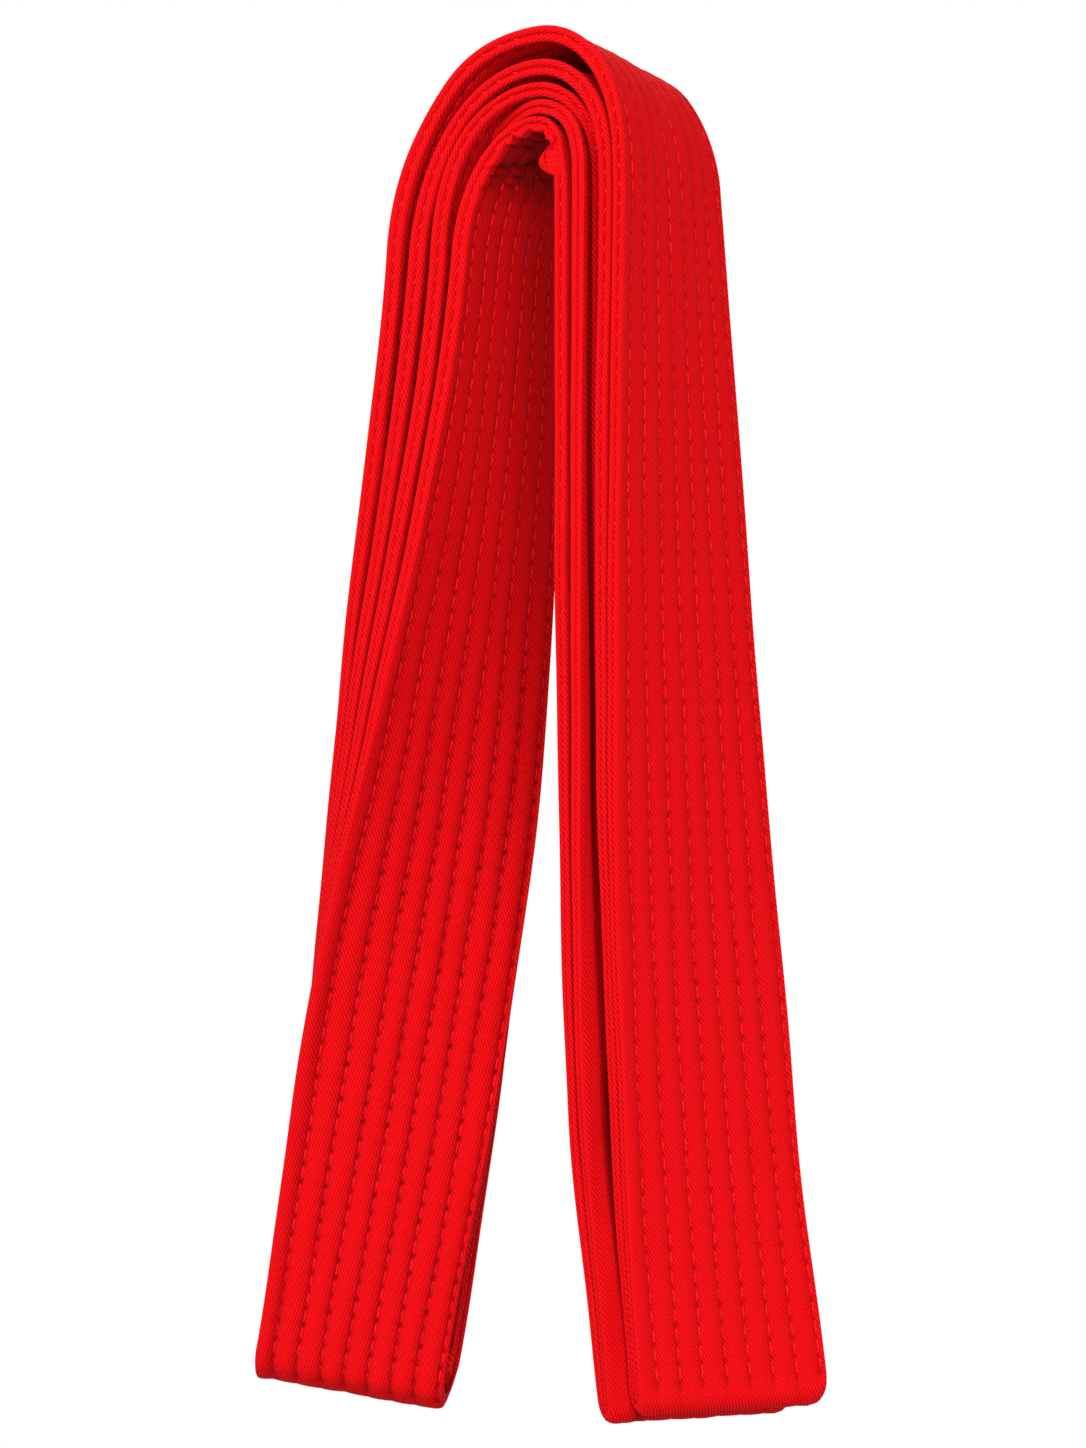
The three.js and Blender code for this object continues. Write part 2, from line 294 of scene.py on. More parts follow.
# The strip's lengths in their order from the free end at the crown to the end hidden in the right leg.
# Each one goes down a leg, round its fold and back up to the crown, where the next one starts.
Length = namedtuple("Length", "name side down up")
LENGTHS = (
    Length("right_inner", 1, "fourth", "fifth"),
    Length("left_outer", -1, "fifth", "first"),
    Length("right_outer", 1, "first", "second"),
    Length("left_inner", -1, "second", "third"),
    Length("right_hidden", 1, "third", None),
)


class Folding:
    """Where every point of the flat strip lies once the belt is folded and hung."""

    run_samples = 1200
    fold_samples = 160

    def __init__(self, settings):
        self.settings = settings
        self.strip, self.fold = settings.strip, settings.fold
        self.crown_end = -place_at_drop(settings.left, self.fold.hinge_drop) * self.fold.crown_end_share
        self.hidden_end = place_at_drop(settings.right, self.fold.hidden_end_drop)

    def offset(self, strand, side, place, down):
        """How far a strand's middle stands off the innermost face."""
        fold, thick = self.fold, self.strip.thickness
        lift = getattr(fold, strand.lift) if strand.lift else 0.0
        tight = strand.right * (thick + fold.strand_gap) + lift * (1 - ease(place, 0, 1))
        if side < 0:
            loose = strand.left * (thick + fold.left_gap)
            tight = mix(tight, loose, ease(place, -self.crown_end, 1.1))
        elif strand.paired:
            closed = mix(fold.hidden_end_drop, self.settings.right.drop, fold.closing_share)
            tight = tight + thick * ease(down, fold.hidden_end_drop + fold.closing_clearance, closed)
        return tight + thick / 2

    def slip(self, strand, side, place, down):
        """How far a strand has slipped along its width."""
        end_recess = self.fold.end_recess if strand is STRANDS["fourth"] else 0.0
        ending = end_recess * (1 - ease(side * place, self.crown_end, 0.1))
        if side < 0:
            return ending + strand.slide * self.fold.left_slide * ease(down, 0.1, self.settings.left.drop)
        if strand.paired:
            slid = ease(down, self.fold.pair_slide_from, self.settings.right.drop)
            return ending - self.fold.pair_slide * slid
        return strand.recess * self.fold.recess * ease(place, 0, 1)

    def run(self, strand, side, start, end):
        """Part of a strand: its middle line, the directions across and into the strip, and its places."""
        place = np.linspace(start, end, self.run_samples)
        f = frames(self.settings, side, place)
        off, slip = self.offset(strand, side, place, f.down), self.slip(strand, side, place, f.down)
        centre = f.point + off[:, None] * f.outward + slip[:, None] * f.across
        return centre, f.across, strand.facing * f.outward, side * place, np.zeros(len(place))

    def turn_round(self, down, up, side, place):
        """The half turn that joins two strands at a leg's end."""
        fold = self.fold
        place = np.array([place])
        f = frames(self.settings, side, place)
        start, end = (self.offset(s, side, place, f.down)[0] for s in (down, up))
        slips = [self.slip(s, side, place, f.down)[0] for s in (down, up)]
        flat = fold.flattening if (side < 0 and down is STRANDS["fifth"]) else 1.0
        angle = np.linspace(0, np.pi, self.fold_samples)[:, None]
        radius = abs(end - start) / 2
        reach = (start - end) / 2 * np.cos(angle)
        deep = flat * radius * np.sin(angle)
        normal = unit(reach / radius**2 * f.outward + deep / (flat * radius) ** 2 * side * f.along)
        outside = down.facing * np.sign(start - end)
        centre = f.point + ((start + end) / 2 + reach) * f.outward + deep * side * f.along
        centre = centre + mix(*slips, angle / np.pi) * f.across
        across = np.repeat(f.across, len(angle), 0)
        return centre, across, outside * normal, np.full(len(angle), side * place[0]), angle[:, 0] / np.pi

    def path(self, part):
        """The centre line of one length with its directions, closely sampled."""
        down, up, side = STRANDS[part.down], part.up and STRANDS[part.up], part.side
        if up is None:
            return self.run(down, side, 0.0, self.hidden_end)
        end = 2.0
        if part.name == "left_inner":
            end = place_at_drop(self.settings.left, self.settings.left.drop - self.fold.nested_raise)
        legs = [
            self.run(down, side, 0.0, end),
            self.turn_round(down, up, side, end),
            self.run(up, side, end, 0.0),
        ]
        # On the way up, the strip has turned right round.
        legs[2][-1][:] = 1.0
        if part.name == "right_inner":
            legs.insert(0, self.run(down, -1, -self.crown_end, 0.0))
        return [np.concatenate(columns) for columns in zip(*legs)]


def smoothed(values, steps):
    """Averages along the strip, which leaves both ends where they are."""
    for _ in range(steps):
        values[1:-1] = (values[:-2] + 2 * values[1:-1] + values[2:]) / 4
    return values


STEPS_PER_STITCH = 5
FACE_SMOOTHING = 2
WIDTH_SMOOTHING = 10
# A length without a fold counts as this far from one, and a fold's direction is taken between two stations
# that lie this many steps above its ends.
FAR_FROM_FOLD = 1.0
ABOVE_FOLD = 12


def laid_out(settings):
    """Every length, cut into equal steps of a fifth of a stitch, with its place along the whole strip."""
    folding = Folding(settings)
    begun = 0.0
    stitches_begun = 0
    found = []
    for part in LENGTHS:
        columns = folding.path(part)
        steps = np.linalg.norm(np.diff(columns[0], axis=0), axis=1)
        keep = np.concatenate([[True], steps > 1e-9])
        centre, across, depth, place, turned = (v[keep] for v in columns)
        run = np.concatenate([[0], np.cumsum(np.linalg.norm(np.diff(centre, axis=0), axis=1))])
        stitches = int(round(run[-1] / settings.strip.stitch_pitch))
        stations = np.linspace(0, run[-1], stitches * STEPS_PER_STITCH + 1)
        line, facing, widths, place, turned = (
            sampled(stations, run, values) for values in (centre, depth, across, place, turned)
        )
        along = unit(np.gradient(line, axis=0))
        facing = unit(smoothed(square_to(facing, along), FACE_SMOOTHING))
        widths = square_to(smoothed(unit(widths), WIDTH_SMOOTHING), facing)
        fold = np.flatnonzero((turned > 0) & (turned < 1))
        from_fold = np.full(len(stations), FAR_FROM_FOLD)
        up = np.zeros(3)
        if len(fold):
            apex = (fold[0] + fold[-1]) // 2
            from_fold = np.abs(stations - stations[apex])
            up = unit(line[fold[0] - ABOVE_FOLD] + line[fold[-1] + ABOVE_FOLD] - 2 * line[apex])
        found.append(
            SimpleNamespace(
                part=part, side=part.side, centre=line, across=widths, depth=facing, turned=turned,
                place=place, run=begun + stations, length=run[-1], stitches=stitches,
                from_fold=from_fold, half_fold=len(fold) / 2 * stations[1], up=up,
                stitch=stitches_begun + np.arange(len(stations)) / STEPS_PER_STITCH,
            )
        )
        begun += run[-1]
        stitches_begun += stitches
    return found


RIPPLE_WAVES = 7
# Brings the waves' sum to about 1.
RIPPLE_SCALE = 1.6
# Seeds, one for each kind of randomness, and the shortest and longest waves of each ripple, in metres.
ROW_SEED, NEEDLE_SEED, PUCKER_SEED, PATCH_SEED = 40, 11, 77, 78
EDGE_SEEDS, FACE_SEEDS, THREAD_SEEDS = (7, 8), (21, 22), (300, 350)
ROW_WAVES, EDGE_WAVES, FACE_WAVES = (0.03, 0.11), (0.04, 0.16), (0.02, 0.09)
PUCKER_WAVES, PATCH_WAVES = (0.006, 0.016), (0.005, 0.012)


def ripple(run, seed, shortest, longest):
    """Slow random waves along the strip, mostly between -1 and 1, the same each time."""
    draw = np.random.default_rng(seed)
    waves = []
    for _ in range(RIPPLE_WAVES):
        wavelength, phase = draw.uniform(shortest, longest), draw.uniform(0, 2 * np.pi)
        waves.append(np.sin(2 * np.pi * run / wavelength + phase))
    return np.sum(waves, 0) / np.sqrt(RIPPLE_WAVES) / RIPPLE_SCALE


# ---- the strip's section

# Steps from a row to the next one, as shares of the pitch.
ROW_STEPS = (0.0, 0.07, 0.2, 0.5, 0.8, 0.93)


# The lip beside the seam: how far across, as shares of the groove, and how far from the strip's middle.
SEAM_LIP = ((1.0, 0.0), (0.62, 0.15), (0.2, 0.32), (0.02, 0.62), (0.02, 0.95), (0.22, 1.3), (0.6, 1.5))
# Points on the face between the lip and the first row.
NEAR_FACE = (1.2, 2.1)
BEFORE_FIRST_ROW = (-0.2, -0.07)
# The rounding of the far edge: how far from it, how deep, and how much the face's normal counts.
FAR_EDGE = ((0.42, 0.1, 0.4), (0.12, 0.45, 0.0), (0.0, 0.95, 0.0))
FAR_FACE_END = 0.75
EDGE_CREST = 0.02


def section(strip):
    """The strip's outline, from the bottom of the seam groove round both faces and back.

    For each point: how far across and how deep it lies, which way out is, and its share of the quilting.
    """
    half = strip.thickness / 2
    points = [(a * strip.seam_groove, half - d * MM, 0.0, 0.0) for a, d in SEAM_LIP]
    points += [(across * MM, 0.0, 1.0, 0.0) for across in NEAR_FACE]
    rows = strip.first_row + strip.row_pitch * np.arange(strip.rows)
    steps = [rows[0] + step * strip.row_pitch for step in BEFORE_FIRST_ROW]
    steps += [row + step * strip.row_pitch for row in rows for step in ROW_STEPS]
    points += [(across, 0.0, 1.0, 1.0) for across in steps if across < strip.width - FAR_FACE_END * MM]
    points += [(strip.width - away * MM, deep * MM, out, 0.0) for away, deep, out in FAR_EDGE]
    middle = [(strip.width + EDGE_CREST * MM, half, 0.0, 0.0)]
    back = [(a, strip.thickness - d, -out, quilt) for a, d, out, quilt in reversed(points[1:])]
    return np.array(points + middle + back)


# How pinched a row's valley is, and how wide a needle's dimple, of half a row pitch.
PINCH = 0.45
DIMPLE_WIDTH = 0.3


def quilting(strip, across, stitch):
    """How far the face is pulled in at a point: the row's valley and its needle dimples."""
    position = (across - strip.first_row) / strip.row_pitch
    nearest = np.clip(np.round(position), 0, strip.rows - 1)
    away = np.minimum(np.abs(position - nearest), 0.5) * 2
    pinched = 1 - np.sqrt(1 - (1 - away) ** 2.4)
    valley = strip.row_valley * mix((1 - away) ** 2, pinched, PINCH)
    needle = (0.5 + 0.5 * np.cos(2 * np.pi * stitch)) ** 2
    dimple = strip.needle_dimple * np.exp(-((away / DIMPLE_WIDTH) ** 2)) * needle
    return valley, dimple


def hump(x, middle, width):
    """A smooth bump of height 1."""
    return np.exp(-(((x - middle) / width) ** 2))


# Windows along a strand for ease(): 0 is the crown, 1 the shoulder's end and 2 the leg's end. On the left
# leg, places are negative.
TUCKED = (0.2, 0.6)
UNDER_ARCH = ((-0.85, -0.6), (0.5, 0.9))
LEG_END = (1.2, 2.0)
KNOB_PLACE, KNOB_LENGTH = 0.83, 0.145
# How high the fourth strand's hem stands beside the third strand.
HEM_HEIGHT = 0.9 * MM
# Where the near edge stands out in the left leg's twist, and how far across that reaches.
BROAD_WINDOW = ((1.4, 1.65), (1.72, 2.0))
BROAD_REACH = 14 * MM
# The share of the corner's radius that the near and the far edge have, on the left and on the right.
CORNER_SHARES = {-1: (0.3, 0.45), 1: (0.5, 1.0)}
# How much of the quilting stays in a fold, how near the fold it is full again, and over what length.
SEWN_IN_FOLD, FOLD_HOLDS, FOLD_FADES = 0.15, 4 * MM, 3 * MM
# Puckers under the arch: how far apart, and how far across one leans by one radian.
PUCKER_PITCH, PUCKER_LEAN = 3.4 * MM, 7 * MM
# How strongly the needle dimples differ, with more draws than the strip has stitches in a row.
NEEDLE_STRENGTH = (0.35, 1.25)
STITCH_DRAWS = 4000
# How much deeper than a row a crease is.
CREASE_DEPTH = 0.4 * MM


class Surface:
    """Turns places on the flat strip into points in space, quilting and ripples included."""

    def __init__(self, settings, piece):
        self.strip, self.fold, self.piece = settings.strip, settings.fold, piece

    def at(self, station, values):
        return sampled(station, np.arange(len(self.piece.run)), values)

    def place(self, station):
        return self.at(station, self.piece.place)

    def belongs(self, station, *strands):
        """How far a station belongs to the strands: between 0 and 1 inside a fold."""
        part, turned = self.piece.part, self.at(station, self.piece.turned)
        return (part.down in strands) * (1 - turned) + (part.up in strands) * turned

    def wander(self, across, run):
        """Rows and edges stray a little, each in its own way."""
        strip = self.strip
        position = np.clip((across - strip.first_row) / strip.row_pitch, 0, strip.rows - 1)
        low = np.floor(position).astype(int)
        high = np.minimum(low + 1, strip.rows - 1)
        strays = np.stack([ripple(run, ROW_SEED + i, *ROW_WAVES) for i in range(strip.rows)])
        column = np.arange(len(run))
        inner = mix(strays[low, column], strays[high, column], position - low) * strip.row_wander
        edge, other = (ripple(run, seed, *EDGE_WAVES) * strip.edge_wave for seed in EDGE_SEEDS)
        near = np.clip(1 - across / strip.first_row, 0, 1)
        far = np.clip((across - strip.width + strip.first_row) / strip.first_row, 0, 1)
        return inner * (1 - near) * (1 - far) + edge * near + other * far

    def sewn(self, station, across, front):
        """How much the quilting shows: a fold pulls it smooth, and one strand's first row is tucked in."""
        piece = self.piece
        away = self.at(station, piece.from_fold) - piece.half_fold
        first_row = across < self.strip.first_row + self.strip.row_pitch / 2
        tucked = self.belongs(station, "fourth") * ease(self.place(station), *TUCKED)
        reach = -np.maximum(piece.half_fold - FOLD_HOLDS, 0.0)
        shown = mix(SEWN_IN_FOLD, 1.0, ease(away, reach, reach + FOLD_FADES))
        shown = shown * (1 - tucked * first_row * front)
        return shown * (1 - 0.9 * self.under_arch(station) * front)

    def relief(self, station):
        """How deep the quilting is: the outermost strand and the inside of the arch are pulled flatter."""
        low = ease(np.abs(self.place(station)), 1.05, 1.5)
        return 1 - 0.42 * self.belongs(station, "first") - 0.45 * self.belongs(station, "fifth") * (1 - low)

    def pucker_phase(self, run, across):
        """Where a point lies between two puckers, which lean a little and are not quite even."""
        uneven = 0.9 * ripple(run, PUCKER_SEED, *PUCKER_WAVES)
        return np.pi * run / PUCKER_PITCH + uneven + across / PUCKER_LEAN

    def under_arch(self, station):
        place = self.place(station)
        begin, end = UNDER_ARCH
        return self.belongs(station, "fifth") * ease(place, *begin) * (1 - ease(place, *end))

    def creased(self, station, across, front):
        """Painted shade: all under the arch, darkest in the creases between puckers, and in the crease beside
        the fourth strand's hem.
        """
        phase = self.pucker_phase(self.at(station, self.piece.run), across)
        valley = 1 - ease(np.abs(np.sin(phase)), 0.0, 0.6)
        inside = ease(across, 1.5 * MM, 4.5 * MM) * (1 - 0.5 * ease(across, 16 * MM, 34 * MM))
        arch = self.under_arch(station) * inside * (0.65 + 0.35 * valley)
        tuck = hump(across - self.hem_width(station), 0.9 * MM, 0.8 * MM) * ease(self.place(station), *TUCKED)
        return front * np.clip(arch + self.belongs(station, "fourth") * tuck, 0, 1)

    def hem_width(self, station):
        """Width of the fourth strand's hem, as far as it shows beside the third strand."""
        return 3 * MM + 0.6 * self.fold.pair_slide * ease(self.place(station), 1.1, 2.0)

    def bulge(self, station, across, front):
        """How far a face stands in from its flat place, in depth: puckers, a lump, a hem and the crown."""
        fold = self.fold
        place, run = self.place(station), self.at(station, self.piece.run)
        first, fourth, fifth = (self.belongs(station, name) for name in ("first", "fourth", "fifth"))
        near = 1 - 0.7 * ease(across, 6 * MM, 26 * MM)
        waves = np.abs(np.sin(self.pucker_phase(run, across))) ** 0.7 - 0.6
        patchy = 0.75 + 0.35 * ripple(run + 0.3 * across, PATCH_SEED, *PATCH_WAVES)
        out = fold.pucker * self.under_arch(station) * near * waves * patchy * (1.0 if front else 0.2)
        knob = np.sqrt(np.clip(1 - ((place - KNOB_PLACE) / KNOB_LENGTH) ** 2, 0, 1))
        lump = knob * hump(across, 1.2 * MM, 2.2 * MM)
        out = out + fifth * fold.curl * lump * (1.0 if front else 0.1)
        wide = self.hem_width(station)
        hem = (1 - ease(across, wide - 1.6 * MM, wide + 0.4 * MM)) * ease(place, 0.1, 0.7)
        hem = hem * (1 - ease(place, 1.8, 1.98))
        share = across / self.strip.width
        far_edge = share**1.3 * (1 - ease(np.abs(place), 0.5, 1.15))
        shoulder = (1 - share) * ease(-place, 0.05, 0.45) * (1 - ease(-place, 0.7, 1.2))
        crown = first * (fold.crown_sag * far_edge - fold.shoulder_push * shoulder)
        return crown - out - fourth * HEM_HEIGHT * hem

    def swelling(self, station, across):
        """How much thicker the hem is than the strip."""
        place = self.place(station)
        left = ease(-place, 0.2, 0.9) * (1 - 0.6 * ease(-place, 1.7, 2.0))
        crown = 0.5 * (1 - ease(np.abs(place), 0.4, 1.0)) * self.belongs(station, "first", "second")
        hem = 1 - ease(across, 1.2 * MM, 3.7 * MM)
        return 1 + self.strip.hem_swell * np.maximum(left, crown) * hem

    def point(self, station, across, depth):
        """Points at whole or part stations of this length."""
        piece, strip, fold = self.piece, self.strip, self.fold
        centre, width, deep = (self.at(station, v) for v in (piece.centre, piece.across, piece.depth))
        place = self.place(station)
        begin, end = BROAD_WINDOW
        twisting = ease(-place, *begin) * (1 - ease(-place, *end))
        a = across - strip.width / 2 - fold.broad * twisting * (1 - ease(across, 0.0, BROAD_REACH))
        d = (depth - strip.thickness / 2) * self.swelling(station, across)
        placed = centre + a[..., None] * unit(width) + d[..., None] * unit(deep)
        pulled = 1 - ease(self.at(station, piece.from_fold) - piece.half_fold, -2 * MM, 8 * MM)
        rise = 0.0
        for edge, share in zip((across, strip.width - across), CORNER_SHARES[piece.side]):
            radius = share * strip.corner
            inside = np.clip(radius - edge, 0, radius)
            rise = rise + radius - np.sqrt(radius**2 - inside**2)
        placed = placed + (pulled * rise)[..., None] * piece.up
        inner = self.belongs(station, "fourth", "fifth")
        lower = across / strip.width * fold.end_slope + inner * fold.inner_drop - fold.near_raise
        placed[..., 2] -= lower * ease(place, *LEG_END) + fold.left_drop * ease(-place, *LEG_END)
        return placed

    def rings(self):
        """The whole strip as a grid: one ring of points for each station."""
        strip, piece = self.strip, self.piece
        outline = section(strip)
        count = len(piece.run)
        station = np.arange(count)
        grid = np.zeros((count, len(outline), 3))
        smooth_edge = 1 - 0.7 * self.belongs(station, "fourth")
        shown, dark = np.zeros((2, count, len(outline)), np.float32)
        relief = self.relief(station)
        draw = np.random.default_rng(NEEDLE_SEED)
        strength = draw.uniform(*NEEDLE_STRENGTH, (strip.rows + 1, STITCH_DRAWS))
        for j, (across, depth, out, quilt) in enumerate(outline):
            a = np.full(count, across)
            valley, dimple = quilting(strip, a, piece.stitch)
            row = int(np.clip(round((across - strip.first_row) / strip.row_pitch), 0, strip.rows))
            dimple = dimple * strength[row, np.round(piece.stitch).astype(int)]
            front = out > 0 or depth < strip.thickness / 2
            shown[:, j] = self.sewn(station, a, front)
            # Painted shade under the arch and in creases; the same mask also sinks the quilted face a little
            # deeper there.
            dark[:, j] = self.creased(station, a, front)
            pulled = mix(valley * relief * shown[:, j], valley + CREASE_DEPTH, dark[:, j])
            inward = quilt * (pulled + dimple * relief * shown[:, j])
            seed = FACE_SEEDS[0 if front else 1]
            swell = ripple(piece.run + 0.004 * across / MM, seed, *FACE_WAVES) * strip.face_ripple
            d = depth + out * (inward + strip.face_ripple - swell) + self.bulge(station, a, front)
            if across < strip.seam_groove:
                a = a * smooth_edge
            grid[:, j] = self.point(station, a + self.wander(a, piece.run), d)
        return outline, grid, {"sewn": shown * relief[:, None], "creased": dark}


# ---- meshes


def in_scene(name, data):
    made = bpy.data.objects.new(name, data)
    bpy.context.scene.collection.objects.link(made)
    return made


def smooth_mesh(name, points, faces, material):
    mesh = bpy.data.meshes.new(name)
    mesh.from_pydata(points, [], faces)
    mesh.polygons.foreach_set("use_smooth", np.ones(len(mesh.polygons), bool))
    mesh.materials.append(material)
    return mesh


# Places on the cloth in metres, and rows by stitches, counted.
MAP_NAMES = ("cloth", "stitches")


def grid_mesh(name, grid, material, maps=(), normals=None, caps=(), masks=None):
    """A closed tube of stations by outline points.

    maps holds a value pair for each corner, masks a value for each point. Each of the caps is the row that it
    closes and whether its faces are turned over.
    """
    rows, columns = grid.shape[:2]
    i, j = np.meshgrid(np.arange(rows - 1), np.arange(columns), indexing="ij")
    k = (j + 1) % columns
    quads = np.stack([i * columns + j, i * columns + k, (i + 1) * columns + k, (i + 1) * columns + j], -1)
    corners = [np.stack([m[i, j], m[i, j + 1], m[i + 1, j + 1], m[i + 1, j]], 2).reshape(-1, 2) for m in maps]
    faces = quads.reshape(-1, 4).tolist()
    points = grid.reshape(-1, 3).tolist()
    for row, flip in caps:
        ring = list(range(row * columns, (row + 1) * columns))
        middle = len(points)
        points.append(grid[row].mean(0).tolist())
        for a, b in zip(ring, ring[1:] + ring[:1]):
            faces.append([b, a, middle] if flip else [a, b, middle])
    mesh = smooth_mesh(name, points, faces, material)
    for label, values in zip(MAP_NAMES, corners):
        layer = mesh.uv_layers.new(name=label)
        filled = np.zeros((len(mesh.loops), 2), np.float32)
        filled[: len(values)] = values
        layer.data.foreach_set("uv", filled.ravel())
    for label, values in (masks or {}).items():
        shown = np.zeros(len(mesh.vertices), np.float32)
        shown[: rows * columns] = values.ravel()
        mesh.attributes.new(label, "FLOAT", "POINT").data.foreach_set("value", shown)
    mesh.validate()
    if normals is not None:
        every = np.zeros((len(mesh.vertices), 3))
        every[: rows * columns] = normals.reshape(-1, 3)
        for n, (row, _) in enumerate(caps):
            every[rows * columns + n] = -unit(normals[row].mean(0) + 1e-9)
        mesh.normals_split_custom_set_from_vertices(every.tolist())
    return in_scene(name, mesh)


def grid_normals(grid):
    """Smooth normals of the whole grid, so that two lengths meet without a crease."""
    return unit(np.cross(np.roll(grid, -1, 1) - np.roll(grid, 1, 1), np.gradient(grid, axis=0)))


# How much of its thickness a free end keeps, ring by ring from the end.
END_TAPER = (0.45, 0.8, 0.93, 0.99)


def taper(grid, at_start):
    """Rounds a free end off, where the cover is turned in over its core."""
    half = grid.shape[1] // 2 + 1
    for n, keep in enumerate(END_TAPER):
        ring = grid[n if at_start else -1 - n]
        centre_line = (ring[:half] + ring[::-1][:half]) / 2
        flat = np.concatenate([centre_line, centre_line[::-1]])[: grid.shape[1]]
        ring[:] = flat + (ring - flat) * keep


def bend_with(obj):
    """Bakes the piece's placement into its mesh."""
    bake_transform(obj)


WORKED_OUT = {}


def built_lengths(settings):
    """The folded strip, worked out once for the operators that need it."""
    if "lengths" not in WORKED_OUT:
        WORKED_OUT["lengths"] = laid_out(settings)
    return WORKED_OUT["lengths"]


REPLACED = {
    "right_inner": ("crown_fourth_end", "crown_fifth", "right_inner_loop"),
    "left_outer": ("crown_fifth", "crown_first", "left_outer_loop"),
    "right_outer": ("crown_first", "crown_second", "right_outer_loop"),
    "left_inner": ("crown_second", "crown_third", "left_inner_loop"),
    "right_hidden": ("crown_third", "right_hidden_end"),
}
NODE_PARTS = ("cover", "core_front", "core_back")


def make_strip(settings, piece, material):
    """One length of the quilted strip, cover and core together."""
    strip, name = settings.strip, piece.part.name
    outline, grid, masks = Surface(settings, piece).rings()
    caps = []
    if piece.part in (LENGTHS[0], LENGTHS[-1]):
        at_start = piece.part is LENGTHS[0]
        taper(grid, at_start)
        caps.append((0 if at_start else len(grid) - 1, at_start))
    across, depth = (np.append(outline[:, i], outline[0, i]) for i in (0, 1))
    girth = np.concatenate([[0], np.cumsum(np.hypot(np.diff(across), np.diff(depth)))])
    row = (across - strip.first_row) / strip.row_pitch
    maps = [
        np.stack(np.broadcast_arrays(over[None, :], down[:, None]), -1)
        for over, down in ((girth, piece.run), (row, piece.stitch))
    ]
    obj = grid_mesh(f"strip_{name}", grid, material, maps, grid_normals(grid), caps, masks)
    bend_with(obj)
    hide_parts(*(f"{node}_{part}" for node in REPLACED[name] for part in NODE_PARTS))
    return obj


# A stitch's rings: how far along it, how much of the thread's width, and how far it dives into the cloth.
STITCH_RINGS = ((0.0, 0.3, 1.0), (0.14, 0.85, 0.35), (0.5, 1.0, 0.0), (0.86, 0.85, 0.35), (1.0, 0.3, 1.0))
STITCH_CORNERS = 6


def make_stitches(name, settings, piece, ends, ups, material, slimmer=1.0, dive=0.3 * MM):
    """Many short stitches in one piece, each between two ends, bulging along its own up direction."""
    starts, stops = ends
    thread = slimmer * settings.strip.thread
    side = unit(np.cross(unit(stops - starts), ups))
    rings = []
    for part, wide, deep in STITCH_RINGS:
        middle = mix(starts, stops, part) - deep * dive * ups
        for angle in 2 * np.pi * np.arange(STITCH_CORNERS) / STITCH_CORNERS:
            rings.append(middle + wide * thread * (0.5 * np.cos(angle) * side + 0.42 * np.sin(angle) * ups))
    each = len(rings)
    pattern = []
    for a in range(0, each - STITCH_CORNERS, STITCH_CORNERS):
        b = a + STITCH_CORNERS
        for c in range(STITCH_CORNERS):
            n = (c + 1) % STITCH_CORNERS
            pattern.append((a + c, a + n, b + n, b + c))
    base = (np.arange(len(starts)) * each)[:, None, None]
    quads = (base + np.array(pattern)[None]).reshape(-1, 4)
    first = tuple(reversed(range(STITCH_CORNERS)))
    last = tuple(each - STITCH_CORNERS + c for c in range(STITCH_CORNERS))
    lids = (base + np.array([first, last])[None]).reshape(-1, STITCH_CORNERS)
    name = f"{name}_thread_{piece.part.name}"
    points = np.stack(rings, 1).reshape(-1, 3).tolist()
    mesh = smooth_mesh(name, points, quads.tolist() + lids.tolist(), material)
    mesh.validate()
    obj = in_scene(name, mesh)
    bend_with(obj)
    return obj


# A stitch's two ends, as shares of the way between its needle holes.
STITCH_ENDS = (0.12, 0.88)
# How far a row's thread sinks below its row, where it shows and where the belt is pulled flat.
SUNK_HIGH, SUNK_LOW, SUNK_HIDDEN = -0.08 * MM, 0.1 * MM, 1.5 * MM
# Stitches left out beside a free end.
FREE_END = 2


def make_row_threads(settings, piece, face, material):
    """The needle thread on the front face, or the bobbin thread on the back."""
    strip = settings.strip
    surface = Surface(settings, piece)
    front = face == "needle"
    draw = np.random.default_rng(THREAD_SEEDS[0 if front else 1] + LENGTHS.index(piece.part))
    first, last = (FREE_END * (piece.part is end) for end in (LENGTHS[0], LENGTHS[-1]))
    stitch = np.arange(first, piece.stitches - last)
    deep = surface.at((stitch + 0.5) * STEPS_PER_STITCH, piece.depth)
    found = []
    for row in range(strip.rows):
        across = strip.first_row + strip.row_pitch * row
        stray = surface.wander(np.full(len(piece.run), across), piece.run)
        jitter = draw.normal(0, 0.05 * MM, len(stitch))
        pair = []
        for at in STITCH_ENDS:
            station = (stitch + at) * STEPS_PER_STITCH
            a = across + surface.at(station, stray) + jitter
            shown = surface.sewn(station, a, front)
            low = ease(np.abs(surface.place(station)), 1.1, 1.6)
            sunk = mix(SUNK_HIGH, SUNK_LOW, np.maximum(low, 0.75 * surface.belongs(station, "first")))
            below = strip.row_valley * shown * surface.relief(station) + sunk + SUNK_HIDDEN * (1 - shown)
            depth = (below if front else strip.thickness - below) + surface.bulge(station, a, front)
            pair.append(surface.point(station, a, depth))
        found.append((*pair, unit(-deep if front else deep)))
    *ends, ups = (np.concatenate(v) for v in zip(*found))
    return make_stitches(face, settings, piece, ends, ups, material)


def make_seam_thread(settings, piece, material):
    """Small slanted stitches that close the groove between the two turned edges."""
    surface = Surface(settings, piece)
    stray = surface.wander(np.zeros(len(piece.run)), piece.run)
    stitch = np.arange(1, piece.stitches - 1)
    half = settings.strip.thickness / 2
    ends = []
    for at, side in ((0.25, -1), (0.65, 1)):
        station = (stitch + at) * STEPS_PER_STITCH
        across = 0.6 * MM + surface.at(station, stray)
        depth = half + side * 0.2 * MM + surface.bulge(station, across, True)
        ends.append(surface.point(station, across, depth))
    out = -surface.at((stitch + 0.46) * STEPS_PER_STITCH, piece.across)
    return make_stitches("seam", settings, piece, ends, unit(out), material, 0.75, 0.25 * MM)


